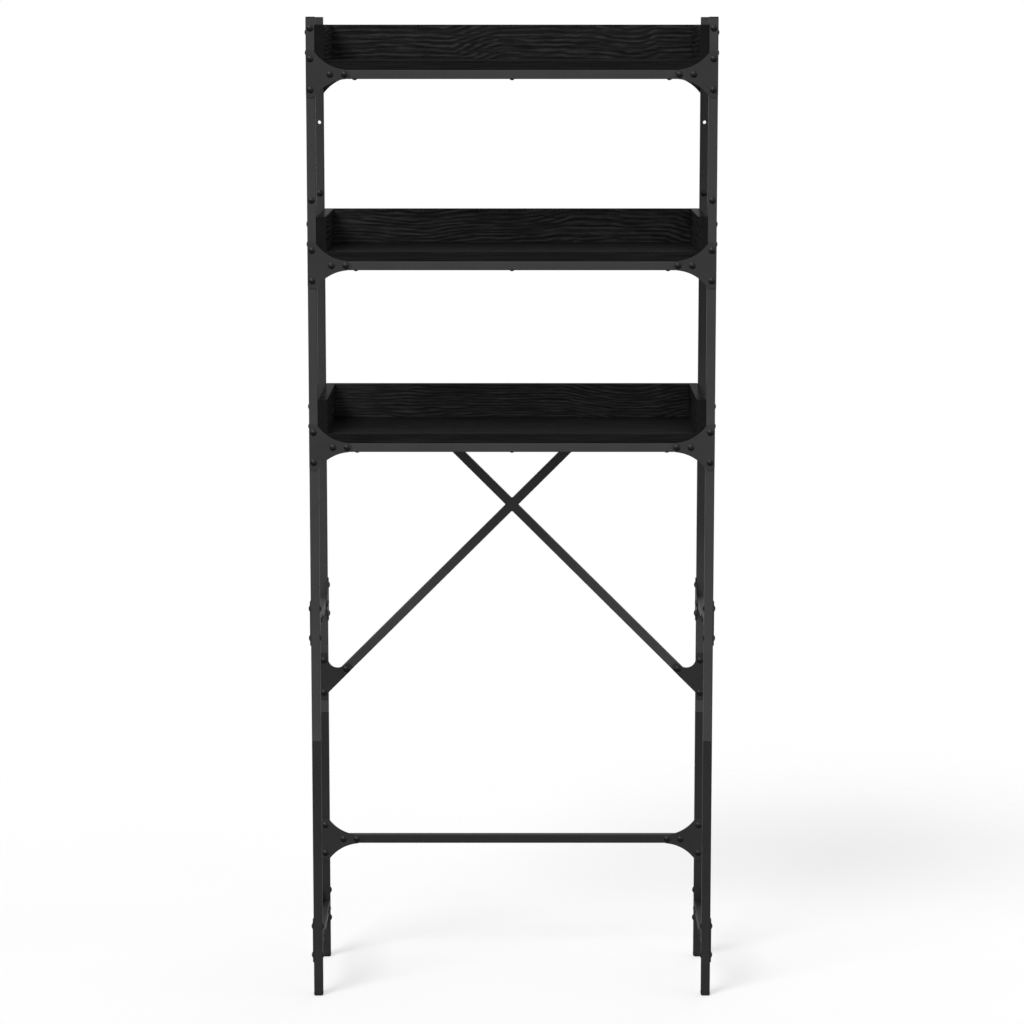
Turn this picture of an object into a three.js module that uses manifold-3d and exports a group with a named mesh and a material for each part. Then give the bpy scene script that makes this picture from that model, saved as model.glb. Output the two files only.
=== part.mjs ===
// Over-the-toilet storage rack: four two-part steel posts, three board trays carried on steel rails,
// side rails, a rear crossbar and a welded X brace, all held by bolted gusset plates.
// Millimetres. +Z is up, +Y is the wall side, X runs left to right.
// The origin is on the floor at the middle of the footprint.

import * as THREE from 'three';
import { mergeVertices } from 'three/addons/utils/BufferGeometryUtils.js';
import Module from 'manifold-3d';

const wasm = await Module();
wasm.setup();

// Overall size, outer face to outer face of the posts
const WIDTH = 670;
const DEPTH = 250;
const HEIGHT = 1640;

// Square steel tube
const TUBE = 15;
const WALL = 1.2;
const CHAMFER = 1.5;
const GAP = 0.3; // left between pieces that touch
const ARC_STEPS = 3; // segments in each half of an arc

// Posts
const SEAM_Z = 440; // top of the lower segment
const SPIGOT = TUBE - 2 * WALL - 2 * GAP; // the lower segment's swaged end, inside the upper one
const SPIGOT_HEIGHT = 40;
const SWAGE = 4; // length over which the tube wall turns into the spigot
const CAP = 2; // closed top of the upper segment
const ANCHOR_Z = 1463; // wall-anchor hole through each rear post
const ANCHOR_DIAMETER = 6;

// Feet
const FOOT_HEIGHT = 6.3;
const FOOT_SIZE = 15.6;
const FOOT_EDGE = 1.5;
const FOOT_PLUG_HEIGHT = 24;

// Trays: height of the rail axis under each one
const TRAYS = [
  ['top', 1547.2],
  ['middle', 1236.5],
  ['bottom', 936.2],
];
const BOARD = 15;
const WALL_HEIGHT = 57; // of the side and back boards

// Lower frame
const CROSSBAR_Z = 213.5;
const SIDE_RAILS = [
  ['upper', 640],
  ['lower', 95],
];

// Gusset plate: measured from the crossing of the post's and the rail's axes
const PLATE = 1.5;
const PLATE_HALF = 37.5; // half its height on the post
const POST_BOLT = 25;
const RAIL_BOLTS = [31.9, 55.25];
const WEB_RADIUS = 68.5; // concave edge between post and rail
const WEB_END = 62.5; // where that edge runs out along the rail
const PLATE_CORNER = 5;
const INNER_CORNER = 2;

// Bolt heads
const HEAD_RADIUS = 5.5;
const HEAD_HEIGHT = 2.4;
const HEAD_RIM = 0.5;

// X brace, at 45 degrees in the plane of the rear posts
const BRACE_Z = 806.2; // height of the crossing
const BRACE_BOLT_X = 288.6; // bolt through each lower end
const BRACE_POST_BOLTS = [533, 475.5];
const BRACE_END = 3; // plate past its brace bolt
const BRACE_FILLET = 16.5; // concave edge between post and brace
const STRAP_LENGTH = 45; // flat strap at each upper end
const WELD = [22, 1.6, 11]; // fills the gap between the strap and its diagonal

// Derived positions
const POST_X = (WIDTH - TUBE) / 2;
const POST_Y = (DEPTH - TUBE) / 2;
const INNER_X = WIDTH / 2 - TUBE; // inner faces of the posts
const INNER_Y = DEPTH / 2 - TUBE;
const HALF = TUBE / 2;
const DIAGONAL = Math.SQRT1_2;

const SIDES = [
  ['left', -1],
  ['right', 1],
];
const ENDS = [
  ['front', -1],
  ['rear', 1],
];

const steel = new THREE.MeshStandardMaterial({ color: 0x3d3d3f, roughness: 0.5, metalness: 0.3 });
const darkSteel = new THREE.MeshStandardMaterial({ color: 0x2c2c2e, roughness: 0.5, metalness: 0.3 });
const blackOak = new THREE.MeshStandardMaterial({ color: 0x1c1b1b, roughness: 0.6, metalness: 0 });
const plastic = new THREE.MeshStandardMaterial({ color: 0x161616, roughness: 0.45, metalness: 0 });

// ---- Solids ----

// A closed three.js geometry as a solid that can be cut and joined
function solid(geometry) {
  const bare = geometry.clone();
  bare.deleteAttribute('normal');
  bare.deleteAttribute('uv');
  const merged = mergeVertices(bare, 1e-4);
  const vertProperties = new Float32Array(merged.attributes.position.array);
  const triVerts = new Uint32Array(merged.index.array);
  return new wasm.Manifold(new wasm.Mesh({ numProp: 3, vertProperties, triVerts }));
}

function geometryOf(body) {
  const mesh = body.getMesh();
  const geometry = new THREE.BufferGeometry();
  geometry.setAttribute('position', new THREE.BufferAttribute(mesh.vertProperties.slice(), 3));
  geometry.setIndex(new THREE.BufferAttribute(mesh.triVerts.slice(), 1));
  geometry.computeVertexNormals();
  return geometry;
}

function join(...bodies) {
  return bodies.reduce((all, body) => all.add(body));
}

function cut(body, ...tools) {
  return tools.reduce((rest, tool) => rest.subtract(tool), body);
}

// ---- Outlines ----

// A square of the given size with chamfered corners
function squareShape(size, chamfer) {
  const h = size / 2;
  const c = h - chamfer;
  const shape = new THREE.Shape();
  shape.moveTo(-c, -h);
  for (const [x, y] of [[c, -h], [h, -c], [h, c], [c, h], [-c, h], [-h, c], [-h, -c]]) shape.lineTo(x, y);
  shape.closePath();
  return shape;
}

function extrude(shape, depth) {
  return new THREE.ExtrudeGeometry(shape, { depth, curveSegments: ARC_STEPS, bevelEnabled: false });
}

// A prism along +Z between two heights
function prism(size, chamfer, z0, z1) {
  return solid(extrude(squareShape(size, chamfer), z1 - z0).translate(0, 0, z0));
}

// A tube along +Z from 0 to its length
function tube(length) {
  const shape = squareShape(TUBE, CHAMFER);
  const bore = TUBE / 2 - WALL;
  const hole = new THREE.Path();
  hole.moveTo(-bore, -bore);
  for (const [x, y] of [[-bore, bore], [bore, bore], [bore, -bore]]) hole.lineTo(x, y);
  hole.closePath();
  shape.holes.push(hole);
  return extrude(shape, length);
}

// The gusset's outline: a strip on the post, a tongue on the rail and two concave edges between them
function gussetShape() {
  const webY = HALF + WEB_RADIUS;
  const tongue = RAIL_BOLTS[1];
  const startAngle = Math.acos((WEB_END - HALF) / WEB_RADIUS);
  const endAngle = Math.acos((WEB_END - tongue) / WEB_RADIUS);
  const tongueRadius = webY - WEB_RADIUS * Math.sin(endAngle);
  const shape = new THREE.Shape();
  const outerX = -HALF + PLATE_CORNER;
  const innerX = HALF - INNER_CORNER;
  shape.moveTo(outerX, -PLATE_HALF);
  shape.lineTo(innerX, -PLATE_HALF);
  shape.absarc(WEB_END, -webY, WEB_RADIUS, Math.PI - startAngle, Math.PI - endAngle, true);
  shape.absarc(tongue, 0, tongueRadius, -Math.PI / 2, Math.PI / 2, false);
  shape.absarc(WEB_END, webY, WEB_RADIUS, Math.PI + endAngle, Math.PI + startAngle, true);
  shape.lineTo(innerX, PLATE_HALF);
  shape.lineTo(outerX, PLATE_HALF);
  shape.lineTo(-HALF, PLATE_HALF - PLATE_CORNER);
  shape.lineTo(-HALF, PLATE_CORNER - PLATE_HALF);
  shape.closePath();
  return shape;
}

// The brace plate's outline: measured from the post's axis, at the height where the brace's axis meets
// the post's inner face. side is 1 where the brace rises towards +X.
function bracePlateShape(side) {
  const axisZ = BRACE_Z - INNER_X;
  const top = BRACE_POST_BOLTS[0] - axisZ + PLATE_HALF - POST_BOLT;
  const foot = BRACE_POST_BOLTS[1] - axisZ - PLATE_HALF + POST_BOLT;
  const edge = HALF / DIAGONAL; // the brace's edges, measured up the post
  const end = INNER_X - BRACE_BOLT_X + BRACE_END * DIAGONAL;
  const fillet = BRACE_FILLET / Math.tan(Math.PI / 8);
  const points = [
    [PLATE_CORNER - HALF, foot],
    [HALF - INNER_CORNER, foot],
    [HALF, foot + INNER_CORNER],
    [HALF, -edge],
    ...arcPoints(HALF + end, end, HALF, -Math.PI / 4, (3 * Math.PI) / 4, 6),
    ...arcPoints(HALF + BRACE_FILLET, edge + fillet, BRACE_FILLET, (7 * Math.PI) / 4, Math.PI, 5),
    [HALF, top - INNER_CORNER],
    [HALF - INNER_CORNER, top],
    [PLATE_CORNER - HALF, top],
    [-HALF, top - PLATE_CORNER],
    [-HALF, foot + PLATE_CORNER],
  ];
  return new THREE.Shape(points.map(([x, y]) => new THREE.Vector2(side * x, y)));
}

function arcPoints(cx, cy, radius, from, to, steps) {
  const points = [];
  for (let i = 0; i <= steps; i += 1) {
    const angle = from + ((to - from) * i) / steps;
    points.push([cx + radius * Math.cos(angle), cy + radius * Math.sin(angle)]);
  }
  return points;
}

// ---- Pieces ----

function lowerPost() {
  const length = SEAM_Z - FOOT_HEIGHT - GAP;
  const top = length + SPIGOT_HEIGHT;
  const body = join(prism(TUBE, CHAMFER, 0, length), prism(SPIGOT, 1, length - SWAGE, top));
  const bore = prism(TUBE - 2 * WALL, 0.8, -1, length - SWAGE);
  const throat = prism(SPIGOT - 2 * WALL, 0.8, -1, top + 1);
  return geometryOf(cut(body, bore, throat));
}

function upperPost(hasAnchorHole) {
  const length = HEIGHT - SEAM_Z - GAP;
  const body = cut(prism(TUBE, CHAMFER, 0, length), prism(TUBE - 2 * WALL, 0.8, -1, length - CAP));
  if (!hasAnchorHole) return geometryOf(body);
  const drill = new THREE.CylinderGeometry(ANCHOR_DIAMETER / 2, ANCHOR_DIAMETER / 2, 2 * TUBE, 12);
  return geometryOf(cut(body, solid(drill.translate(0, 0, ANCHOR_Z - SEAM_Z - GAP))));
}

function foot() {
  const pad = new THREE.ExtrudeGeometry(squareShape(FOOT_SIZE - 2 * FOOT_EDGE, 1.5), {
    depth: FOOT_HEIGHT - 2 * FOOT_EDGE,
    bevelThickness: FOOT_EDGE,
    bevelSize: FOOT_EDGE,
    bevelSegments: 2,
  });
  pad.translate(0, 0, FOOT_EDGE);
  return geometryOf(join(solid(pad), prism(SPIGOT, 1, 1, FOOT_HEIGHT + FOOT_PLUG_HEIGHT)));
}

// A dome head standing on a plate's outer face, at a point of the plate
function boltHead(x, y) {
  const profile = [
    [0, -PLATE / 2],
    [HEAD_RADIUS, -PLATE / 2],
    [HEAD_RADIUS, HEAD_RIM],
    [0.72 * HEAD_RADIUS, 0.75 * HEAD_HEIGHT],
    [0, HEAD_HEIGHT],
  ].map(([r, h]) => new THREE.Vector2(r, h));
  const head = new THREE.LatheGeometry(profile, 8);
  return solid(head.rotateX(Math.PI / 2).translate(x, y, PLATE));
}

function plateWithBolts(shape, bolts) {
  const heads = bolts.map(([x, y]) => boltHead(x, y));
  return geometryOf(join(solid(extrude(shape, PLATE)), ...heads));
}

function gusset() {
  const bolts = [[0, POST_BOLT], [0, -POST_BOLT], ...RAIL_BOLTS.map((x) => [x, 0])];
  return plateWithBolts(gussetShape(), bolts);
}

function bracePlate(side) {
  const axisZ = BRACE_Z - INNER_X;
  const reach = POST_X - BRACE_BOLT_X;
  const bolts = BRACE_POST_BOLTS.map((z) => [0, z - axisZ]);
  bolts.push([side * reach, INNER_X - BRACE_BOLT_X]);
  return plateWithBolts(bracePlateShape(side), bolts);
}

// One diagonal along local +X, turned to 45 degrees about Y. turn is 1 where it rises towards +X.
function diagonal(geometry, turn) {
  return solid(geometry.rotateY((-turn * Math.PI) / 4));
}

// The flat strap at a diagonal's upper end, which laps the front of the rear rail
function strap(turn, railZ) {
  const boltAt = (railZ - BRACE_Z) / DIAGONAL;
  const start = boltAt - STRAP_LENGTH;
  const shape = new THREE.Shape();
  shape.moveTo(start, -HALF);
  shape.lineTo(boltAt, -HALF);
  shape.absarc(boltAt, 0, HALF, -Math.PI / 2, Math.PI / 2, false);
  shape.lineTo(start, HALF);
  shape.closePath();
  const flat = extrude(shape, PLATE).rotateX(Math.PI / 2).translate(0, -HALF - GAP, 0);
  const weld = new THREE.BoxGeometry(WELD[0], WELD[1], WELD[2]);
  weld.translate(start + WELD[0] / 2 + 1, -HALF, 0);
  return join(diagonal(flat, turn), diagonal(weld, turn));
}

function brace() {
  const railZ = TRAYS[2][1];
  const top = railZ - HALF - GAP - BRACE_Z;
  const reach = 1.5 * WIDTH;
  const bars = [];
  const bores = [];
  for (const turn of [1, -1]) {
    bars.push(diagonal(new THREE.BoxGeometry(reach, TUBE, TUBE), turn));
    bores.push(diagonal(new THREE.BoxGeometry(reach, TUBE - 2 * WALL, TUBE - 2 * WALL), turn));
  }
  const limits = new THREE.BoxGeometry(2 * (INNER_X - GAP), 2 * TUBE, reach).translate(0, 0, top - reach / 2);
  const trimmed = join(...bars).intersect(solid(limits));
  return geometryOf(join(cut(trimmed, ...bores), strap(1, railZ), strap(-1, railZ)));
}

// ---- Assembly ----

const rack = new THREE.Group();
rack.name = 'over_toilet_rack';

function add(name, geometry, material, x, y, z) {
  const mesh = new THREE.Mesh(geometry, material);
  mesh.name = name;
  mesh.position.set(x, y, z);
  rack.add(mesh);
  return mesh;
}

// Turns a mesh so that its local x and z axes point along the given directions
function face(mesh, x, z) {
  const xAxis = new THREE.Vector3(...x);
  const zAxis = new THREE.Vector3(...z);
  const yAxis = new THREE.Vector3().crossVectors(zAxis, xAxis);
  mesh.quaternion.setFromRotationMatrix(new THREE.Matrix4().makeBasis(xAxis, yAxis, zAxis));
}

function addPosts() {
  for (const [end, ey] of ENDS) {
    for (const [side, sx] of SIDES) {
      const place = [sx * POST_X, ey * POST_Y];
      const name = `${end}_${side}`;
      add(`foot_${name}`, foot(), plastic, ...place, 0);
      add(`post_lower_${name}`, lowerPost(), darkSteel, ...place, FOOT_HEIGHT + GAP);
      add(`post_upper_${name}`, upperPost(end === 'rear'), steel, ...place, SEAM_Z + GAP);
    }
  }
}

function addCrossRail(name, material, y, z) {
  const rail = add(name, tube(2 * (INNER_X - GAP)), material, GAP - INNER_X, y, z);
  rail.rotation.y = Math.PI / 2;
}

function addSideRail(name, material, x, z) {
  const rail = add(name, tube(2 * (INNER_Y - GAP)), material, x, INNER_Y - GAP, z);
  rail.rotation.x = Math.PI / 2;
}

function addTray(level, railZ) {
  const floorZ = railZ + HALF + GAP;
  const wallZ = floorZ + BOARD + GAP;
  const floorWidth = 2 * (INNER_X - GAP);
  const sideX = INNER_X - GAP - BOARD / 2;
  const backWidth = 2 * (sideX - BOARD / 2 - GAP);
  for (const [end, ey] of ENDS) {
    addCrossRail(`rail_${level}_${end}`, steel, ey * POST_Y, railZ);
    for (const [side, sx] of SIDES) {
      const outer = ey * (DEPTH / 2 + GAP);
      const plate = add(`gusset_${level}_${end}_${side}`, gusset(), steel, sx * POST_X, outer, railZ);
      face(plate, [-sx, 0, 0], [0, ey, 0]);
    }
  }
  const floor = new THREE.BoxGeometry(floorWidth, DEPTH, BOARD);
  add(`tray_floor_${level}`, floor, blackOak, 0, 0, floorZ + BOARD / 2);
  const back = new THREE.BoxGeometry(backWidth, BOARD, WALL_HEIGHT);
  add(`tray_back_${level}`, back, blackOak, 0, DEPTH / 2 - BOARD / 2, wallZ + WALL_HEIGHT / 2);
  for (const [side, sx] of SIDES) {
    const wall = new THREE.BoxGeometry(BOARD, DEPTH, WALL_HEIGHT);
    add(`tray_side_${level}_${side}`, wall, blackOak, sx * sideX, 0, wallZ + WALL_HEIGHT / 2);
  }
}

// Front posts carry their side plates on the outer face. At the upper rail the rear posts carry
// theirs on the inner face, and at the lower rail on the outer face.
function addSideFrames() {
  for (const [level, z] of SIDE_RAILS) {
    const material = level === 'upper' ? steel : darkSteel;
    for (const [side, sx] of SIDES) {
      addSideRail(`side_rail_${level}_${side}`, material, sx * POST_X, z);
      for (const [end, ey] of ENDS) {
        const inside = end === 'rear' && level === 'upper';
        const x = sx * (inside ? INNER_X - GAP : WIDTH / 2 + GAP);
        const plate = add(`side_gusset_${level}_${end}_${side}`, gusset(), material, x, ey * POST_Y, z);
        face(plate, [0, -ey, 0], [inside ? -sx : sx, 0, 0]);
      }
    }
  }
}

function addRearFrame() {
  const plateY = INNER_Y - GAP;
  addCrossRail('rear_crossbar', darkSteel, POST_Y, CROSSBAR_Z);
  add('x_brace', brace(), steel, 0, POST_Y, BRACE_Z);
  for (const [side, sx] of SIDES) {
    const low = add(`crossbar_gusset_${side}`, gusset(), darkSteel, sx * POST_X, plateY, CROSSBAR_Z);
    face(low, [-sx, 0, 0], [0, -1, 0]);
    const high = bracePlate(-sx);
    const plate = add(`brace_gusset_${side}`, high, darkSteel, sx * POST_X, plateY, BRACE_Z - INNER_X);
    face(plate, [1, 0, 0], [0, -1, 0]);
  }
}

addPosts();
for (const [level, railZ] of TRAYS) addTray(level, railZ);
addSideFrames();
addRearFrame();

export default rack;
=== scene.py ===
"""Studio picture of an over-the-toilet storage rack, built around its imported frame.

The frame gives every place. The pieces here are the finished surfaces: rounded tube, pressed plates,
dome-headed bolts, black oak boards, plugs and feet. Everything is in metres.
"""

import math

import bmesh
import bpy
from mathutils import Matrix, Vector

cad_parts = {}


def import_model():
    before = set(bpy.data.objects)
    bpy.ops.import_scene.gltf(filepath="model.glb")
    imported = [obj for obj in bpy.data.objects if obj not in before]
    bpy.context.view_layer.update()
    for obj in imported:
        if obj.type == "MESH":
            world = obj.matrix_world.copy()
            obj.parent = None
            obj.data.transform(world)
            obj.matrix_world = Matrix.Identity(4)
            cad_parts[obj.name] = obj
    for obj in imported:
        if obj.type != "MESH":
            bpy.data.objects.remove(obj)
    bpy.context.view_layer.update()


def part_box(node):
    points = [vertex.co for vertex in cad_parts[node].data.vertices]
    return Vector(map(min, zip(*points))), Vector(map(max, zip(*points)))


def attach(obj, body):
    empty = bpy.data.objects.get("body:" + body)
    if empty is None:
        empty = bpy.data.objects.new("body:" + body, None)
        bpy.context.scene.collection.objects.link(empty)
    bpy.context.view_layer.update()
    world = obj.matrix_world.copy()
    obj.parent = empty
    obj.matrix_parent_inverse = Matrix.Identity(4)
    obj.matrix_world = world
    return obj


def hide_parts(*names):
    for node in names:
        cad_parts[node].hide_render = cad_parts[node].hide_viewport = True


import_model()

MM = 0.001
CREASE = math.radians(32)
WELD = 1e-7

# Square tube
TUBE = 15 * MM
WALL = 1.2 * MM
TUBE_CORNER = 1.7 * MM
BORE_CORNER = TUBE_CORNER - WALL + 0.2 * MM
TUBE_EDGE = 0.35 * MM
GAP = 0.3 * MM
FIT = 0.28 * MM
HALF = TUBE / 2

# Spigot in a post's seam, with its ends' heights from the seam
SPIGOT = TUBE - 2 * WALL - 2 * GAP
SPIGOT_CORNER = 1.2 * MM
SPIGOT_BORE_CORNER = 0.8 * MM
SPIGOT_SPAN = (-6 * MM, 40 * MM)

# Top plug, with the flange's widths and their heights from the post's top
PLUG = 1.6 * MM
PLUG_GAP = GAP / 3
PLUG_FLANGE = (
    (TUBE - 0.6 * MM, -PLUG),
    (TUBE, -PLUG + 0.25 * MM),
    (TUBE, -0.6 * MM),
    (TUBE - 0.4 * MM, -0.18 * MM),
    (TUBE - 1.4 * MM, 0.0),
)
PLUG_STEM = TUBE - 2 * WALL - 0.4 * MM
PLUG_DEPTH = 16 * MM
STEM_CORNER = 1.0 * MM

# Foot
FOOT_CORNER = 2.6 * MM
FOOT_CORNER_STEPS = 6
FOOT_RISE_STEPS = 5
FOOT_HEIGHT = 6.3 * MM
SHOULDER_RISE = 0.4 * MM
SHOULDER_INSET = 0.5 * MM
SHOULDER_CORNER = FOOT_CORNER - 0.2 * MM
FOOT_STEM = TUBE - 2 * WALL - 0.5 * MM
FOOT_STEM_STRAIGHT = 3 * MM
FOOT_TIP = FOOT_STEM - 0.8 * MM
FOOT_TIP_CORNER = 0.8 * MM

# Gusset plates, measured from the crossing of the post's and the rail's axes
PLATE = 1.5 * MM
PLATE_EDGE = 0.3 * MM
PLATE_HALF = 37.5 * MM
POST_BOLT = 25 * MM
RAIL_BOLTS = (31.9 * MM, 55.25 * MM)
WEB_RADIUS = 68.5 * MM
WEB_END = 62.5 * MM
PLATE_CORNER = 5 * MM
INNER_CORNER = 2 * MM
CORNER_STEPS = 6
TONGUE_STEPS = 16
WEB_STEPS = 24
PLATE_FINISHES = {"steel": "plate", "steel_dark": "plate_dark"}

# X brace
BRACE_Z = 806.2 * MM
BRACE_BOLT_X = 288.6 * MM
BRACE_POST_BOLTS = (533 * MM, 475.5 * MM)
BRACE_END = 3 * MM
BRACE_FILLET = 16.5 * MM
BRACE_REACH = 0.7
BRACE_LIMIT = 1.0
STRAP_LENGTH = 45 * MM
DIAGONALS = (1, -1)

# Weld beads: length and radius, and how the rod ripples
CROSSING_BEAD = (TUBE - 2 * MM, 1.3 * MM)
STRAP_BEAD = (14 * MM, 0.9 * MM)
CROSSING_BEAD_SINK = 0.3 * MM
STRAP_BEAD_SINK = 0.2 * MM
STRAP_BEAD_RISE = 9 * MM
BEAD_RINGS = 22
BEAD_RIPPLE = 0.16
BEAD_TIP = 0.6
BEAD_AROUND = 10

# Fasteners: head radius and height
BOLT = (5.5 * MM, 2.4 * MM)
NUT = (5.5 * MM, 2.7 * MM)
SIDE_SCREW = (4.5 * MM, 1.8 * MM)
RAIL_SCREW = (4.0 * MM, 2.1 * MM)
AROUND = 32
HEAD_RIM = 0.3 * MM
HEAD_EASE = 0.15 * MM
HEAD_STEPS = 7
SHANK_RADIUS = 2.9 * MM
SHANK_AROUND = 16
POST_BOLT_LEVELS = (1.6215, 1.343)
SIDE_SCREW_LEVELS = (12 * MM, 44.8 * MM)
RAIL_SCREW_X = (-0.256, 0.0, 0.256)
ANCHOR_Z = 1.463
ANCHOR_RADIUS = 3 * MM

# Recesses: sizes as shares of the head's radius, depths as shares of its height
HEXAGON_ACROSS = 0.46
CROSS_HALF_WIDTH = 0.07
CROSS_LENGTH = 0.26
MOUTH_DEPTH = 0.03
RECESS_FLOOR = 0.45

# Boards
BOARD_EDGE = 0.35 * MM
FACING = 0.9
RING = 7.4 * MM
RING_CROWDING = {"top": 0.95, "middle": 1.0, "bottom": 1.35}
SIDE_STRETCH = 0.45
GRAIN_STEP = (1.37, 0.53, 0.29)

# Oak figure. Each bend has its noise's scales along, across and through the grain, detail and reach
RING_LEAN = 0.4
TERRACE_REACH = 0.026
BENDS = (
    ((3.0, 5.0, 3.0), 2, 0.03),
    ((9.0, 34.0, 20.0), 2, 0.013),
    ((28.0, 120.0, 80.0), 2, 0.005),
    ((60.0, 500.0, 300.0), 1, 0.0016),
)
PORE_SHADE = -0.2

# Studio
HORIZON_LIGHT = 0.12
ZENITH_LIGHT = 0.45
BACKDROP_LIGHT = 0.5
BACKDROP_SPAN = (0.3, 1.0)
FLOOR_FADE = (0.9, 2.2)
FLOOR_SHARE = 0.5
FLOOR_GLOW = 0.5
CAMERA_PLACE = (0.0, -5.475, 1.625)
CAMERA_SENSOR = 36
CAMERA_LENS = 114.8
CAMERA_TILT = 8.466
CAMERA_FAR = 100

SIDES = (("left", -1), ("right", 1))
ENDS = (("front", -1), ("rear", 1))
LEVELS = ("top", "middle", "bottom")
SIDE_LEVELS = (("upper", "steel"), ("lower", "steel_dark"))


# ---------------------------------------------------------------- outlines


def rounded_square(size, radius, steps=4):
    """Points round a square with rounded corners, anticlockwise."""
    inner = size / 2 - radius
    points = []
    for quarter, (sx, sy) in enumerate(((1, 1), (-1, 1), (-1, -1), (1, -1))):
        for i in range(steps + 1):
            a = math.pi / 2 * (quarter + i / steps)
            points.append((sx * inner + radius * math.cos(a), sy * inner + radius * math.sin(a)))
    return points


def circle(radius, count=AROUND):
    turn = 2 * math.pi / count
    return [(radius * math.cos(turn * i), radius * math.sin(turn * i)) for i in range(count)]


def arc(cx, cy, radius, start, end, steps):
    points = []
    for i in range(steps + 1):
        a = start + (end - start) * i / steps
        points.append((cx + radius * math.cos(a), cy + radius * math.sin(a)))
    return points


def polygon_ring(reach):
    """Points at even angles on an outline whose reach is a function of the angle."""
    points = []
    for i in range(AROUND):
        a = 2 * math.pi * i / AROUND
        points.append((reach(a) * math.cos(a), reach(a) * math.sin(a)))
    return points


def hexagon_reach(across):
    def reach(a):
        nearest = round(a / (math.pi / 3)) * (math.pi / 3)
        return across / 2 / math.cos(a - nearest)

    return reach


def cross_reach(half_width, length):
    def reach(a):
        off = abs(a - round(a / (math.pi / 2)) * (math.pi / 2))
        return min(length, half_width / max(math.sin(off), 1e-6))

    return reach


def signed_area(points):
    total = 0
    for (x0, y0), (x1, y1) in zip(points, points[1:] + points[:1]):
        total += x0 * y1 - x1 * y0
    return total / 2


def at_height(points, z):
    return [Vector((x, y, z)) for x, y in points]


# ---------------------------------------------------------------- meshes


def loft(bm, rings, matrix, loop=False):
    """Skins rings of equal length. The ends are capped, or with loop joined to each other."""
    made = [[bm.verts.new(matrix @ p) for p in ring] for ring in rings]
    count = len(made[0])
    pairs = list(zip(made, made[1:]))
    if loop:
        pairs.append((made[-1], made[0]))
    for low, high in pairs:
        for i in range(count):
            j = (i + 1) % count
            bm.faces.new((low[i], low[j], high[j], high[i]))
    if not loop:
        bm.faces.new(reversed(made[0]))
        bm.faces.new(made[-1])


def extruded(outline, thickness, edge, matrix):
    """A flat plate with both rims rounded over: its outline in local x and y, standing on local z 0."""
    bm = bmesh.new()
    verts = [bm.verts.new(Vector((x, y, 0))) for x, y in outline]
    base = bm.faces.new(verts)
    if signed_area(outline) > 0:
        base.normal_flip()
    lifted = bmesh.ops.extrude_face_region(bm, geom=[base])
    top = [v for v in lifted["geom"] if isinstance(v, bmesh.types.BMVert)]
    bmesh.ops.translate(bm, verts=top, vec=(0, 0, thickness))
    rims = [e for e in bm.edges if e.verts[0].co.z == e.verts[1].co.z]
    bmesh.ops.bevel(bm, geom=rims, offset=edge, segments=2, profile=0.5, affect="EDGES")
    bmesh.ops.transform(bm, matrix=matrix, verts=bm.verts)
    return bm


def cuboid(centre, size):
    bm = bmesh.new()
    bmesh.ops.create_cube(bm, size=1.0)
    place = Matrix.Translation(centre) @ Matrix.Diagonal((*size, 1))
    bmesh.ops.transform(bm, matrix=place, verts=bm.verts)
    return bm


def set_creases(bm):
    """Smooth shading, broken where two faces meet at more than the crease angle."""
    for edge in bm.edges:
        edge.smooth = len(edge.link_faces) == 2 and edge.calc_face_angle() < CREASE
    for face in bm.faces:
        face.smooth = True


def mesh_from(name, bm):
    mesh = bpy.data.meshes.new(name)
    bm.to_mesh(mesh)
    bm.free()
    return mesh


def joined(parts):
    """One bmesh that holds all the given ones."""
    whole = bmesh.new()
    for part in parts:
        mesh = mesh_from("part", part)
        whole.from_mesh(mesh)
        bpy.data.meshes.remove(mesh)
    return whole


def placed(name, data):
    obj = bpy.data.objects.new(name, data)
    bpy.context.scene.collection.objects.link(obj)
    return obj


def piece(name, bm, material, nodes=(), weighted=True):
    """Turns a bmesh into a shown piece that rides on the rack and stands for CAD nodes."""
    bmesh.ops.remove_doubles(bm, verts=bm.verts, dist=WELD)
    bmesh.ops.recalc_face_normals(bm, faces=bm.faces)
    set_creases(bm)
    mesh = mesh_from(name, bm)
    for one in material if isinstance(material, list) else [material]:
        mesh.materials.append(one)
    obj = placed(name, mesh)
    if weighted:
        normals = obj.modifiers.new("weighted_normals", "WEIGHTED_NORMAL")
        normals.keep_sharp = True
    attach(obj, "root")
    if nodes:
        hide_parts(*nodes)
    return obj


def cut_away(obj, tool_bm, operation):
    """Applies a boolean with a throwaway tool."""
    mesh = mesh_from("tool", tool_bm)
    tool = placed("tool", mesh)
    boolean = obj.modifiers.new("boolean", "BOOLEAN")
    boolean.object = tool
    boolean.operation = operation
    boolean.solver = "EXACT"
    obj.modifiers.move(len(obj.modifiers) - 1, 0)
    depsgraph = bpy.context.evaluated_depsgraph_get()
    done = bpy.data.meshes.new_from_object(obj.evaluated_get(depsgraph), depsgraph=depsgraph)
    old = obj.data
    obj.modifiers.remove(boolean)
    done.name = old.name
    obj.data = done
    bpy.data.meshes.remove(old)
    bpy.data.objects.remove(tool)
    bpy.data.meshes.remove(mesh)


def resharpen(obj):
    """Sets the creases again on a mesh that booleans have changed."""
    bm = bmesh.new()
    bm.from_mesh(obj.data)
    set_creases(bm)
    bm.to_mesh(obj.data)
    bm.free()


# ---------------------------------------------------------------- materials


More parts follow.
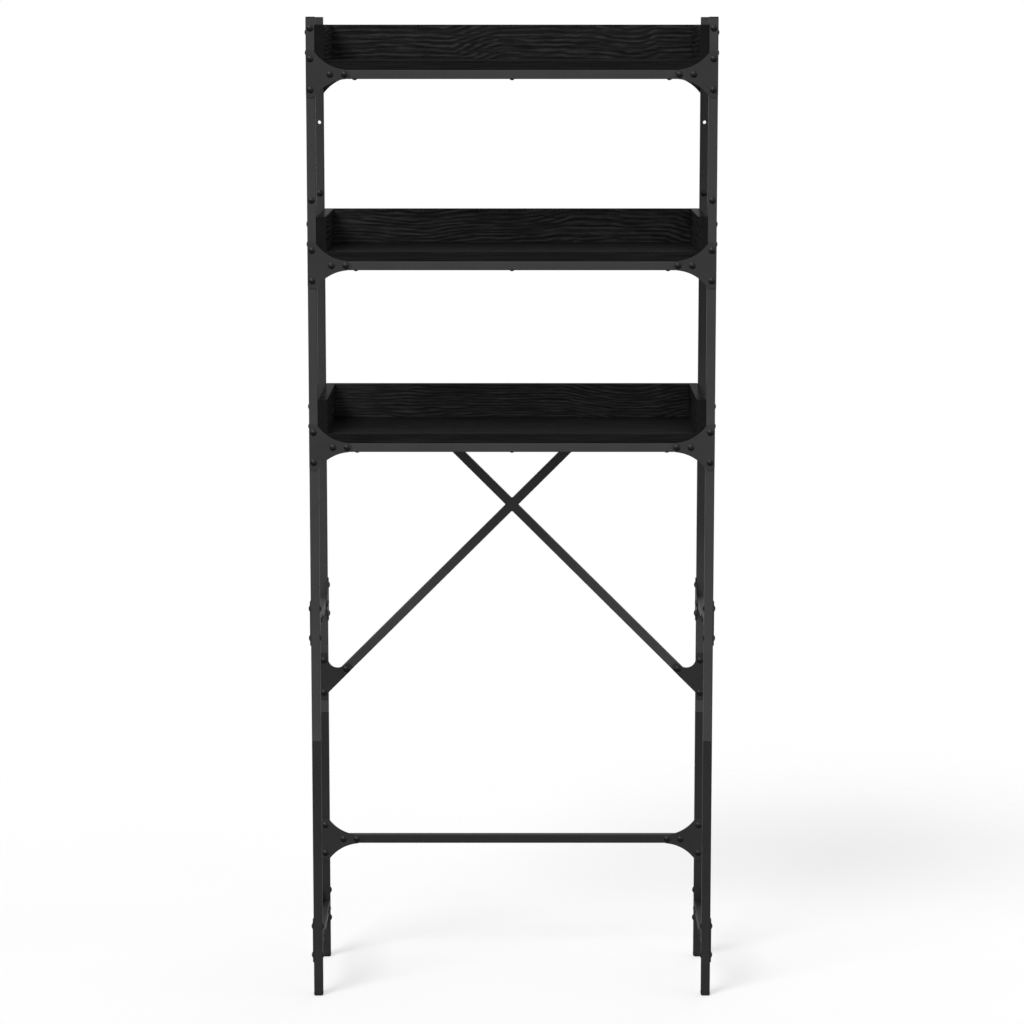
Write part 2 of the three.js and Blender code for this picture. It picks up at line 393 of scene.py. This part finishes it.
class Graph:
    """The node tree of a material or a world, filled by short calls."""

    def __init__(self, owner, shader="Principled BSDF"):
        owner.use_nodes = True
        self.owner = owner
        self.tree = owner.node_tree
        self.shader = self.tree.nodes[shader]

    def add(self, kind, sockets=None, **settings):
        node = self.tree.nodes.new(kind)
        for key, value in settings.items():
            setattr(node, key, value)
        for key, value in (sockets or {}).items():
            self.put(node.inputs[key], value)
        return node

    def put(self, socket, value):
        if isinstance(value, bpy.types.NodeSocket):
            self.tree.links.new(value, socket)
        else:
            socket.default_value = value

    def set(self, **sockets):
        """Sets or links the shader's own sockets. An underscore stands for a space."""
        for key, value in sockets.items():
            self.put(self.shader.inputs[key.replace("_", " ")], value)

    def place(self, kind="Object"):
        return self.add("ShaderNodeTexCoord").outputs[kind]

    def attribute(self, name):
        return self.add("ShaderNodeAttribute", attribute_name=name).outputs["Vector"]

    def split(self, vector):
        return self.add("ShaderNodeSeparateXYZ", {0: vector}).outputs

    def noise(self, vector, scale, detail, roughness):
        sockets = {"Vector": vector, "Scale": scale, "Detail": detail, "Roughness": roughness}
        return self.add("ShaderNodeTexNoise", sockets).outputs["Fac"]

    def figure(self, vector, scales, detail, roughness, shift=(0, 0, 0)):
        """Noise with its own scale along each axis."""
        sockets = {"Vector": vector, "Scale": scales, "Location": shift}
        stretched = self.add("ShaderNodeMapping", sockets).outputs["Vector"]
        return self.noise(stretched, 1.0, detail, roughness)

    def math(self, operation, a, b=0.0, c=0.0):
        return self.add("ShaderNodeMath", {0: a, 1: b, 2: c}, operation=operation).outputs[0]

    def remap(self, value, target, source=(0.0, 1.0), **settings):
        sockets = {"Value": value, "From Min": source[0], "From Max": source[1]}
        sockets.update({"To Min": target[0], "To Max": target[1]})
        return self.add("ShaderNodeMapRange", sockets, **settings).outputs["Result"]

    def greys(self, value, stops, level=1.0):
        """A ramp of greys. Each stop is a position and a share of the level."""
        node = self.add("ShaderNodeValToRGB", {"Fac": value})
        points = node.color_ramp.elements
        while len(points) < len(stops):
            points.new(0.5)
        for point, (position, share) in zip(points, stops):
            point.position = position
            point.color = (*[share * level] * 3, 1)
        return node.outputs["Color"]

    def bump(self, height, distance, strength):
        sockets = {"Height": height, "Distance": distance, "Strength": strength}
        return self.add("ShaderNodeBump", sockets).outputs["Normal"]


def new_material(name):
    return Graph(bpy.data.materials.new(name))


def powder_coat(name, level, gloss):
    """Satin black powder coat: a faint mottle, an orange-peel skin and fine grit."""
    g = new_material(name)
    at = g.place()
    mottle = g.noise(at, 14, detail=3, roughness=0.6)
    peel = g.noise(at, 620, detail=2, roughness=0.55)
    grit = g.noise(at, 2600, detail=1, roughness=0.5)
    dull = g.math("ADD", mottle, grit)
    height = g.math("MULTIPLY_ADD", grit, 0.35, peel)
    g.set(
        Base_Color=g.greys(mottle, [(0.3, 0.92), (0.7, 1.08)], level),
        Roughness=g.remap(dull, (0.42, 0.56), source=(0.6, 1.4)),
        Normal=g.bump(height, distance=0.06 * MM, strength=0.55),
        Specular_IOR_Level=gloss,
    )
    return g.owner


def bolt_black():
    """Black-oxide steel of the fasteners: darker and glossier than the coat, with a handled look."""
    g = new_material("bolt_black")
    at = g.place()
    smudge = g.noise(at, 260, detail=3, roughness=0.6)
    fine = g.noise(at, 3200, detail=1, roughness=0.5)
    g.set(
        Base_Color=g.greys(smudge, [(0.3, 0.003), (0.75, 0.006)]),
        Roughness=g.remap(smudge, (0.44, 0.54)),
        Normal=g.bump(fine, distance=0.03 * MM, strength=0.4),
        Specular_IOR_Level=0.38,
    )
    return g.owner


def moulded_plastic():
    """Black plastic with a fine spark-eroded texture."""
    g = new_material("moulded_plastic")
    at = g.place()
    cells = g.noise(at, 1900, detail=2, roughness=0.6)
    cloud = g.noise(at, 60, detail=2, roughness=0.5)
    g.set(
        Base_Color=g.greys(cloud, [(0.3, 0.012), (0.7, 0.018)]),
        Roughness=g.remap(cells, (0.38, 0.6)),
        Normal=g.bump(cells, distance=0.05 * MM, strength=0.6),
        Specular_IOR_Level=0.15,
    )
    return g.owner


def oak_rings(g, grain):
    """The figure's main wave: rings across the board, bent by ever finer noise along them."""
    axes = g.split(grain)
    ring = g.math("MULTIPLY_ADD", axes[2], RING_LEAN, axes[1])
    terrace = g.figure(grain, (2.6, 3.0, 3.0), detail=1, roughness=0.5)
    terrace = g.remap(terrace, (0, 1), source=(0.44, 0.58))
    ring = g.math("MULTIPLY_ADD", terrace, TERRACE_REACH, ring)
    for scales, detail, reach in BENDS:
        bend = g.figure(grain, scales, detail, roughness=0.5)
        ring = g.math("MULTIPLY_ADD", bend, reach, ring)
    wave = g.math("SINE", g.math("MULTIPLY", ring, 2 * math.pi / RING))
    return g.remap(wave, (0, 1), source=(-1, 1))


def black_oak(name, level):
    """Black oak: long, gently wavy rings across the board with open pores along them.

    The grain attribute holds metres along the grain, across it and through the board.
    """
    g = new_material(name)
    grain = g.attribute("grain")
    wave = oak_rings(g, grain)
    patch = g.figure(grain, (10.0, 130.0, 60.0), detail=2, roughness=0.6, shift=(5, 3, 1))
    depth = g.remap(patch, (0.05, 1.0), source=(0.36, 0.62))
    wave = g.math("MULTIPLY_ADD", g.math("SUBTRACT", wave, 0.5), depth, 0.5)
    streak = g.figure(grain, (24.0, 330.0, 160.0), detail=3, roughness=0.6, shift=(2, 7, 4))
    streak = g.remap(streak, (-0.4, 0.4), source=(0.3, 0.7))
    pores = g.figure(grain, (70.0, 1500.0, 900.0), detail=2, roughness=0.6)
    pore = g.remap(pores, (0, 1), source=(0.54, 0.7))
    tone = g.math("ADD", g.math("MULTIPLY_ADD", pore, PORE_SHADE, wave), streak)
    g.set(
        Base_Color=g.greys(tone, [(0.0, 0.53), (0.5, 1.0), (1.0, 2.2)], level),
        Roughness=g.remap(tone, (0.42, 0.3)),
        Normal=g.bump(wave, distance=0.1 * MM, strength=0.3),
        Specular_IOR_Level=0.003,
    )
    return g.owner


def oak_edge(name, level, rough, gloss):
    """An edge band of the boards: straighter, finer lines than the faces."""
    g = new_material(name)
    grain = g.attribute("grain")
    line = g.figure(grain, (16.0, 500.0, 500.0), detail=3, roughness=0.6)
    cloud = g.figure(grain, (9.0, 60.0, 60.0), detail=2, roughness=0.5)
    tone = g.math("MULTIPLY", line, g.remap(cloud, (0.7, 1.2)))
    g.set(
        Base_Color=g.greys(tone, [(0.25, 0.51), (0.75, 1.48)], level),
        Roughness=g.remap(line, (rough, 0.8 * rough)),
        Normal=g.bump(line, distance=0.03 * MM, strength=0.2),
        Specular_IOR_Level=gloss,
    )
    return g.owner


# ---------------------------------------------------------------- tubes, plugs and feet


# Turns local z, which tubes are lofted along, to each axis of the frame
AXIS_TURNS = {
    "x": Matrix(((0, 0, 1), (1, 0, 0), (0, 1, 0))).to_4x4(),
    "y": Matrix(((0, 1, 0), (0, 0, 1), (1, 0, 0))).to_4x4(),
    "z": Matrix.Identity(4),
}


def tube_rings(length):
    """Rings of an open tube: up the outside, round the end, down the bore."""
    outer = rounded_square(TUBE, TUBE_CORNER)
    lip = rounded_square(TUBE - 2 * TUBE_EDGE, TUBE_CORNER - TUBE_EDGE)
    bore = rounded_square(TUBE - 2 * WALL, BORE_CORNER)
    outside = [(lip, 0), (outer, TUBE_EDGE), (outer, length - TUBE_EDGE), (lip, length)]
    inside = [(bore, length), (bore, 0)]
    return [at_height(ring, z) for ring, z in outside + inside]


def tube(name, node, axis, slot, mats, end=None):
    """A tube that fills its CAD node's box along the given axis, or stops short at end."""
    lo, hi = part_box(node)
    along = "xyz".index(axis)
    end = hi[along] if end is None else end
    origin = (lo + hi) / 2
    origin[along] = lo[along]
    bm = bmesh.new()
    loft(bm, tube_rings(end - lo[along]), Matrix.Translation(origin) @ AXIS_TURNS[axis], loop=True)
    return piece(name, bm, mats[slot], [node])


def anchor_drill(x, y):
    bm = bmesh.new()
    turn = Matrix.Translation((x, y, ANCHOR_Z)) @ Matrix.Rotation(math.pi / 2, 4, "X")
    loft(bm, [at_height(circle(ANCHOR_RADIUS), z) for z in (-TUBE, TUBE)], turn)
    return bm


def posts(mats):
    for end, _ in ENDS:
        for side, _ in SIDES:
            place = f"{end}_{side}"
            lower, upper = f"post_lower_{place}", f"post_upper_{place}"
            lo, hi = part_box(upper)
            seam = lo.z - GAP
            tube(lower, lower, "z", "steel_dark", mats, end=seam)
            post = tube(upper, upper, "z", "steel", mats, end=hi.z - PLUG - PLUG_GAP)
            x, y = (lo.x + hi.x) / 2, (lo.y + hi.y) / 2
            if end == "rear":
                cut_away(post, anchor_drill(x, y), "DIFFERENCE")
            spigot(f"spigot_{place}", Matrix.Translation((x, y, seam)), mats)
            plug(f"top_plug_{place}", Matrix.Translation((x, y, hi.z)), mats)
            foot(f"foot_{place}", mats)


def spigot(name, base, mats):
    """The swaged end of the lower segment, which shows only as a dark line in the seam."""
    ring = rounded_square(SPIGOT, SPIGOT_CORNER)
    bore = rounded_square(SPIGOT - 2 * WALL, SPIGOT_BORE_CORNER)
    bottom, top = SPIGOT_SPAN
    rings = [at_height(ring, bottom), at_height(ring, top), at_height(bore, top), at_height(bore, bottom)]
    bm = bmesh.new()
    loft(bm, rings, base, loop=True)
    piece(name, bm, mats["steel_dark"])


def plug(name, base, mats):
    """The plastic plug in the top of a post: a thin flange with a rounded rim over its stem."""
    stem = rounded_square(PLUG_STEM, STEM_CORNER)
    rings = [at_height(stem, z) for z in (-PLUG_DEPTH, -PLUG)]
    for size, z in PLUG_FLANGE:
        rings.append(at_height(rounded_square(size, TUBE_CORNER - (TUBE - size) / 4), z))
    bm = bmesh.new()
    loft(bm, rings, base)
    piece(name, bm, mats["plastic"])


def foot(node, mats):
    """A pad with a full round lower edge, a shoulder against the tube and a plug up inside it."""
    lo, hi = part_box(node)
    size = hi.x - lo.x
    sections = []
    for i in range(FOOT_RISE_STEPS + 1):
        a = math.pi / 2 * i / FOOT_RISE_STEPS
        inset = FOOT_CORNER * (1 - math.sin(a))
        sections.append((size - 2 * inset, FOOT_CORNER - 0.5 * inset, FOOT_CORNER * (1 - math.cos(a))))
    sections += [
        (size, FOOT_CORNER, FOOT_HEIGHT - SHOULDER_RISE),
        (size - SHOULDER_INSET, SHOULDER_CORNER, FOOT_HEIGHT),
        (FOOT_STEM, STEM_CORNER, FOOT_HEIGHT),
        (FOOT_STEM, STEM_CORNER, FOOT_HEIGHT + FOOT_STEM_STRAIGHT),
        (FOOT_TIP, FOOT_TIP_CORNER, hi.z - lo.z),
    ]
    rings = []
    for wide, radius, z in sections:
        rings.append(at_height(rounded_square(wide, radius, FOOT_CORNER_STEPS), z))
    bm = bmesh.new()
    loft(bm, rings, Matrix.Translation(((lo.x + hi.x) / 2, (lo.y + hi.y) / 2, lo.z)))
    piece(node + "_cap", bm, mats["plastic"], [node])


def rails(mats):
    for level in LEVELS:
        for end, _ in ENDS:
            node = f"rail_{level}_{end}"
            tube(node + "_tube", node, "x", "steel", mats)
    tube("rear_crossbar_tube", "rear_crossbar", "x", "steel_dark", mats)
    for side, _ in SIDES:
        for level, slot in SIDE_LEVELS:
            node = f"side_rail_{level}_{side}"
            tube(node + "_tube", node, "y", slot, mats)


# ---------------------------------------------------------------- fasteners


def head(bm, matrix, size, recess):
    """A spherical dome on a thin rim, standing on local z 0, with a hexagon or cross recess."""
    radius, height = size
    profile = [(radius - HEAD_EASE, 0.0), (radius, HEAD_EASE), (radius, HEAD_RIM)]
    rise = height - HEAD_RIM
    ball = (radius * radius + rise * rise) / (2 * rise)
    for i in range(HEAD_STEPS - 1, 1, -1):
        r = radius * i / HEAD_STEPS
        profile.append((r, height - ball + math.sqrt(ball * ball - r * r)))
    if recess == "hexagon":
        mouth = polygon_ring(hexagon_reach(HEXAGON_ACROSS * radius))
    else:
        mouth = polygon_ring(cross_reach(CROSS_HALF_WIDTH * radius, CROSS_LENGTH * radius))
    rings = [at_height(circle(r), z) for r, z in profile]
    rings += [at_height(mouth, height - MOUTH_DEPTH * rise), at_height(mouth, RECESS_FLOOR * height)]
    loft(bm, rings, matrix)


def through_bolt(bm, matrix, grip):
    """A bolt with its head on local z 0 and its dome nut on the far side of the grip."""
    head(bm, matrix, BOLT, "hexagon")
    loft(bm, [at_height(circle(SHANK_RADIUS, SHANK_AROUND), z) for z in (0.0, -grip)], matrix)
    far = matrix @ Matrix.Translation((0, 0, -grip)) @ Matrix.Rotation(math.pi, 4, "X")
    head(bm, far, NUT, "hexagon")


def bolt_group(name, places, grip, mats):
    bm = bmesh.new()
    for matrix in places:
        through_bolt(bm, matrix, grip)
    piece(name, bm, mats["bolt"], weighted=False)


# ---------------------------------------------------------------- plates


def gusset_outline():
    """A strip on the post, a tongue on the rail and a concave edge on either side of it."""
    web_y = HALF + WEB_RADIUS
    tongue = RAIL_BOLTS[1]
    start = math.acos((WEB_END - HALF) / WEB_RADIUS)
    end = math.acos((WEB_END - tongue) / WEB_RADIUS)
    tongue_radius = web_y - WEB_RADIUS * math.sin(end)
    outer, inner, tip = PLATE_CORNER, INNER_CORNER, PLATE_HALF
    points = arc(outer - HALF, outer - tip, outer, math.pi, 1.5 * math.pi, CORNER_STEPS)
    points += [(HALF - inner, -tip)]
    points += arc(WEB_END, -web_y, WEB_RADIUS, math.pi - start, math.pi - end, WEB_STEPS)
    points += arc(tongue, 0, tongue_radius, -math.pi / 2, math.pi / 2, TONGUE_STEPS)[1:-1]
    points += arc(WEB_END, web_y, WEB_RADIUS, math.pi + end, math.pi + start, WEB_STEPS)
    points += [(HALF - inner, tip)]
    points += arc(outer - HALF, tip - outer, outer, math.pi / 2, math.pi, CORNER_STEPS)
    return points


def brace_outline(side, post_bolts, reach):
    """A strip on the post and a tongue on the diagonal. side is 1 where the diagonal rises to +x."""
    root = math.sqrt(0.5)
    top = post_bolts[0] + PLATE_HALF - POST_BOLT
    bottom = post_bolts[1] - PLATE_HALF + POST_BOLT
    edge = HALF / root
    end = reach - HALF + BRACE_END * root
    fillet = BRACE_FILLET / math.tan(math.pi / 8)
    outer, inner = PLATE_CORNER, INNER_CORNER
    points = arc(outer - HALF, bottom + outer, outer, math.pi, 1.5 * math.pi, CORNER_STEPS)
    points += [(HALF - inner, bottom), (HALF, bottom + inner), (HALF, -edge)]
    points += arc(HALF + end, end, HALF, -math.pi / 4, 0.75 * math.pi, TONGUE_STEPS)
    points += arc(HALF + BRACE_FILLET, edge + fillet, BRACE_FILLET, 1.75 * math.pi, math.pi, TONGUE_STEPS)
    points += [(HALF, top - inner), (HALF - inner, top)]
    points += arc(outer - HALF, top - outer, outer, math.pi / 2, math.pi, CORNER_STEPS)
    return [(side * x, y) for x, y in points]


def plane_at(origin, along, normal):
    """Local x along the rail, local z out of the plate."""
    x, z = Vector(along), Vector(normal)
    y = z.cross(x)
    return Matrix.Translation(origin) @ Matrix((x, y, z)).transposed().to_4x4()


def plate_on(node, outline, bolts, origin, along, normal, slot, mats):
    """A plate over a post's face, with its bolts through the tube behind it."""
    base = plane_at(Vector(origin) + Vector(normal) * (HALF + GAP - FIT), along, normal)
    plate = extruded(outline, PLATE, PLATE_EDGE, base)
    piece(node + "_plate", plate, mats[PLATE_FINISHES[slot]], [node])
    places = [base @ Matrix.Translation((x, y, PLATE)) for x, y in bolts]
    bolt_group(node + "_bolts", places, PLATE + GAP - FIT + TUBE, mats)


def post_centre(end, side):
    lo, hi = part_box(f"post_upper_{end}_{side}")
    return (lo + hi) / 2


def rail_height(node):
    lo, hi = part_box(node)
    return (lo.z + hi.z) / 2


def corner_gusset(node, end, side, rail, along, normal, slot, mats):
    """A gusset between a post and the rail that runs along the given direction."""
    post = post_centre(end, side)
    bolts = [(0, POST_BOLT), (0, -POST_BOLT)] + [(x, 0) for x in RAIL_BOLTS]
    origin = (post.x, post.y, rail_height(rail))
    plate_on(node, gusset_outline(), bolts, origin, along, normal, slot, mats)


def brace_gusset(side, sx, mats):
    """The plate that ties the foot of a diagonal to its rear post."""
    post = post_centre("rear", side)
    axis_z = BRACE_Z - (abs(post.x) - HALF)
    post_bolts = [z - axis_z for z in BRACE_POST_BOLTS]
    reach = abs(post.x) - BRACE_BOLT_X
    outline = brace_outline(-sx, post_bolts, reach)
    bolts = [(0, y) for y in post_bolts] + [(-sx * reach, reach - HALF)]
    origin = (post.x, post.y, axis_z)
    plate_on(f"brace_gusset_{side}", outline, bolts, origin, (1, 0, 0), (0, -1, 0), "steel_dark", mats)


def gussets(mats):
    for end, ey in ENDS:
        for side, sx in SIDES:
            inward = (-sx, 0, 0)
            for level in LEVELS:
                node = f"gusset_{level}_{end}_{side}"
                corner_gusset(node, end, side, f"rail_{level}_{end}", inward, (0, ey, 0), "steel", mats)
            for level, slot in SIDE_LEVELS:
                node = f"side_gusset_{level}_{end}_{side}"
                rail = f"side_rail_{level}_{side}"
                # The upper ones at the back are on the posts' inner faces
                out = -sx if (end, level) == ("rear", "upper") else sx
                corner_gusset(node, end, side, rail, (0, -ey, 0), (out, 0, 0), slot, mats)
    for side, sx in SIDES:
        node = f"crossbar_gusset_{side}"
        inward, forward = (-sx, 0, 0), (0, -1, 0)
        corner_gusset(node, "rear", side, "rear_crossbar", inward, forward, "steel_dark", mats)
        brace_gusset(side, sx, mats)


# ---------------------------------------------------------------- brace


def diagonal(turn, origin):
    """Local z along a diagonal that rises towards +X where turn is 1, local x up and out of it."""
    return Matrix.Translation(origin) @ Matrix.Rotation(turn * math.pi / 4, 4, "Y")


def bead(bm, matrix, size):
    """A weld bead: a rippled rod along local z, centred on it."""
    length, radius = size
    rings = []
    for i in range(BEAD_RINGS + 1):
        swell = radius * (1 + BEAD_RIPPLE * math.cos(math.pi * i))
        if i in (0, BEAD_RINGS):
            swell *= BEAD_TIP
        rings.append(at_height(circle(swell, BEAD_AROUND), length * (i / BEAD_RINGS - 0.5)))
    loft(bm, rings, matrix)


def brace_tubes(origin, top, mats):
    """Two crossed bars in one skin, cut to the brace's own width and level at the top."""
    ring = rounded_square(TUBE, TUBE_CORNER)
    bars = []
    for turn in DIAGONALS:
        bm = bmesh.new()
        loft(bm, [at_height(ring, z) for z in (-BRACE_REACH, BRACE_REACH)], diagonal(turn, origin))
        bars.append(bm)
    obj = piece("x_brace_tubes", bars[0], mats["steel"], ["x_brace"])
    cut_away(obj, bars[1], "UNION")
    lo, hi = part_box("x_brace")
    centre = (0, origin.y, top - BRACE_LIMIT / 2)
    limits = cuboid(centre, (hi.x - lo.x, 4 * TUBE, BRACE_LIMIT))
    cut_away(obj, limits, "INTERSECT")
    resharpen(obj)


def brace_straps(origin, bolt_at, mats):
    """Flat straps that tie the tops of the diagonals to the rear rail."""
    start = bolt_at - STRAP_LENGTH
    outline = [(start, -HALF)]
    outline += arc(bolt_at, 0, HALF, -math.pi / 2, math.pi / 2, TONGUE_STEPS)
    outline += [(start, HALF)]
    straps = []
    places = []
    for turn in DIAGONALS:
        along = (turn * math.sqrt(0.5), 0, math.sqrt(0.5))
        base = plane_at(origin + Vector((0, -HALF - GAP, 0)), along, (0, -1, 0))
        straps.append(extruded(outline, PLATE, PLATE_EDGE, base))
        places.append(base @ Matrix.Translation((bolt_at, 0, PLATE)))
    piece("x_brace_straps", joined(straps), mats["steel"])
    bolt_group("x_brace_strap_bolts", places, PLATE + GAP + TUBE, mats)


def brace_welds(origin, strap_start, mats):
    """Beads in the four corners of the crossing and along both sides of each strap's foot."""
    bm = bmesh.new()
    turn_y = Matrix.Rotation(math.pi / 2, 4, "X")
    corner = HALF * math.sqrt(2) - CROSSING_BEAD_SINK
    for dx, dz in ((0, 1), (0, -1), (1, 0), (-1, 0)):
        spot = origin + Vector((dx * corner, 0, dz * corner))
        bead(bm, Matrix.Translation(spot) @ turn_y, CROSSING_BEAD)
    for turn in DIAGONALS:
        for side in (-1, 1):
            beside = Vector((side * (HALF - STRAP_BEAD_SINK), -HALF - GAP, strap_start + STRAP_BEAD_RISE))
            bead(bm, diagonal(turn, diagonal(turn, origin) @ beside), STRAP_BEAD)
    piece("x_brace_welds", bm, mats["steel"], weighted=False)


def brace(mats):
    rail_lo, rail_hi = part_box("rail_bottom_rear")
    origin = Vector((0, (rail_lo.y + rail_hi.y) / 2, BRACE_Z))
    bolt_at = (rail_height("rail_bottom_rear") - BRACE_Z) * math.sqrt(2)
    brace_tubes(origin, rail_lo.z - GAP, mats)
    brace_straps(origin, bolt_at, mats)
    brace_welds(origin, bolt_at - STRAP_LENGTH, mats)


# ---------------------------------------------------------------- boards


def skin_of(face, thin):
    """0 for a board's two broad faces, 2 for edges that face up, 1 for every other edge. The edges that
    face up get a lighter copy of the edge band: a painted highlight.
    """
    if abs(face.normal[thin]) > FACING:
        return 0
    return 2 if face.normal.z > FACING else 1


def board(node, along, grow, grain, finish, mats):
    """A veneered board with eased edges and banded sides, pushed home against its neighbours.

    along is the grain's axis, 0 for X and 1 for Y. grow marks the low and high faces that close a gap.
    grain is where the board was cut and how far its figure is squeezed along and across.
    """
    lo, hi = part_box(node)
    size = hi - lo
    thin = min(range(3), key=lambda k: size[k])
    across = 3 - along - thin
    lo, hi = lo - Vector(grow[0]) * FIT, hi + Vector(grow[1]) * FIT
    bm = cuboid((lo + hi) / 2, hi - lo)
    bmesh.ops.bevel(bm, geom=bm.edges[:], offset=BOARD_EDGE, segments=3, profile=0.5, affect="EDGES")
    for face in bm.faces:
        face.normal_update()
        face.material_index = skin_of(face, thin)
    # The third skin, on edges that face up, is the edge band painted lighter as a painted highlight.
    skins = [mats[finish], mats["oak_edge"], mats["oak_top_painted_highlight"]]
    obj = piece(node + "_board", bm, skins, [node])
    data = obj.data.attributes.new("grain", "FLOAT_VECTOR", "POINT")
    index, length, crowding = grain
    shift = Vector([step * index for step in GRAIN_STEP])
    for vertex, value in zip(obj.data.vertices, data.data):
        p = vertex.co
        value.vector = Vector((p[along] * length, p[across] * crowding, p[thin])) + shift


def trays(mats):
    down = ((0, 0, 1), (0, 0, 0))
    down_and_out = ((1, 0, 1), (1, 0, 0))
    for index, level in enumerate(LEVELS):
        cut = 4 * index
        crowding = RING_CROWDING[level]
        # The floor boards take the darker copy of the black oak: painted shade on faces that look up into
        # the light.
        board(f"tray_floor_{level}", 0, down, (cut, 1.0, crowding), "oak_floor_painted_shade", mats)
        board(f"tray_back_{level}", 0, down_and_out, (cut + 1, 1.0, crowding), "oak", mats)
        for count, (side, _) in enumerate(SIDES):
            grain = (cut + 2 + count, SIDE_STRETCH, crowding)
            board(f"tray_side_{level}_{side}", 1, down, grain, "oak", mats)
        tray_screws(level, mats)


def tray_screws(level, mats):
    """Screws through the posts into the tray's sides, and up through the rails into its floor."""
    floor_lo, floor_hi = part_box(f"tray_floor_{level}")
    bm = bmesh.new()
    for end, _ in ENDS:
        for side, sx in SIDES:
            post = post_centre(end, side)
            for rise in SIDE_SCREW_LEVELS:
                spot = (sx * (abs(post.x) + HALF), post.y, floor_hi.z + rise)
                head(bm, plane_at(spot, (0, 1, 0), (sx, 0, 0)), SIDE_SCREW, "cross")
        rail_lo, rail_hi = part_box(f"rail_{level}_{end}")
        for x in RAIL_SCREW_X:
            spot = (x, (rail_lo.y + rail_hi.y) / 2, rail_lo.z)
            head(bm, plane_at(spot, (1, 0, 0), (0, 0, -1)), RAIL_SCREW, "cross")
    piece(f"tray_screws_{level}", bm, mats["bolt"], weighted=False)


def post_bolts(mats):
    """Bolts straight through the posts from front to back."""
    for end, _ in ENDS:
        places = []
        for side, _ in SIDES:
            post = post_centre(end, side)
            for z in POST_BOLT_LEVELS:
                places.append(plane_at((post.x, post.y - HALF, z), (1, 0, 0), (0, -1, 0)))
        bolt_group(f"post_bolts_{end}", places, TUBE, mats)


# ---------------------------------------------------------------- studio


def sun(name, azimuth, elevation, strength, spread):
    """A soft distant light. Azimuth 0 shines along +Y, elevation is its height in the sky."""
    data = bpy.data.lights.new(name, "SUN")
    data.energy = strength
    data.angle = math.radians(spread)
    lamp = placed(name, data)
    lamp.rotation_euler = (math.radians(90 - elevation), 0, math.radians(azimuth))


def world():
    """A white backdrop to the eye, and a dim sky to light the object by."""
    g = Graph(bpy.data.worlds.new("studio"), "Background")
    axes = g.split(g.place("Generated"))
    sky = g.remap(axes["Z"], (HORIZON_LIGHT, ZENITH_LIGHT))
    behind = g.remap(axes["Y"], (0.0, BACKDROP_LIGHT), BACKDROP_SPAN, interpolation_type="SMOOTHSTEP")
    light = g.math("ADD", sky, behind)
    seen = g.add("ShaderNodeLightPath").outputs["Is Camera Ray"]
    level = g.add("ShaderNodeMix", {"Factor": seen, "A": light, "B": 1.0}).outputs["Result"]
    g.set(Color=(1, 1, 1, 1), Strength=level)
    bpy.context.scene.world = g.owner


def floor():
    """A pale floor that melts into the white backdrop some way out."""
    g = new_material("floor_paint")
    at = g.place()
    cloud = g.noise(at, 3, detail=3, roughness=0.5)
    away = g.add("ShaderNodeVectorMath", {0: at}, operation="LENGTH").outputs["Value"]
    g.set(
        Base_Color=g.greys(cloud, [(0.3, 0.94), (0.7, 0.96)], FLOOR_SHARE),
        Roughness=0.8,
        Specular_IOR_Level=0.0,
        Emission_Color=(1, 1, 1, 1),
        Emission_Strength=FLOOR_GLOW,
        Alpha=g.remap(away, (1.0, 0.0), FLOOR_FADE, interpolation_type="SMOOTHSTEP"),
    )
    bm = bmesh.new()
    bmesh.ops.create_circle(bm, cap_ends=True, segments=96, radius=FLOOR_FADE[1])
    mesh = mesh_from("studio_floor", bm)
    mesh.materials.append(g.owner)
    obj = placed("studio_floor", mesh)
    obj.visible_glossy = False


def camera():
    data = bpy.data.cameras.new("camera")
    data.lens = CAMERA_LENS
    data.sensor_width = CAMERA_SENSOR
    data.clip_end = CAMERA_FAR
    eye = placed("camera", data)
    eye.location = CAMERA_PLACE
    eye.rotation_euler = (math.radians(90 - CAMERA_TILT), 0, 0)
    bpy.context.scene.camera = eye


def studio():
    world()
    floor()
    sun("key", azimuth=-36, elevation=42, strength=2.1, spread=28)
    sun("front", azimuth=4, elevation=12, strength=0.48, spread=40)
    sun("fill", azimuth=75, elevation=25, strength=0.65, spread=60)
    sun("top", azimuth=0, elevation=80, strength=0.08, spread=70)
    sun("back", azimuth=150, elevation=40, strength=0.3, spread=50)
    camera()
    bpy.context.scene.view_settings.view_transform = "Standard"


# ---------------------------------------------------------------- scene


finishes = {
    "steel": powder_coat("powder_coat", level=0.043, gloss=0.2),
    "plate": powder_coat("powder_coat_plate", level=0.035, gloss=0.15),
    "steel_dark": powder_coat("powder_coat_dark", level=0.0205, gloss=0.12),
    "plate_dark": powder_coat("powder_coat_plate_dark", level=0.0235, gloss=0.12),
    "bolt": bolt_black(),
    "plastic": moulded_plastic(),
    "oak": black_oak("black_oak", level=0.0175),
    # A darker copy of the black oak for the trays' floors: painted shade that keeps their upward faces as
    # dark as the upright boards.
    "oak_floor_painted_shade": black_oak("black_oak_painted_shade_floor", level=0.0105),
    "oak_edge": oak_edge("oak_edge", level=0.01, rough=0.5, gloss=0.031),
    # The edges that face up are painted lighter than the other edges: a painted highlight. Their low
    # roughness gives them a real sheen as well.
    "oak_top_painted_highlight": oak_edge("oak_painted_highlight_edge", level=0.016, rough=0.3, gloss=0.001),
}
posts(finishes)
rails(finishes)
gussets(finishes)
brace(finishes)
trays(finishes)
post_bolts(finishes)
studio()
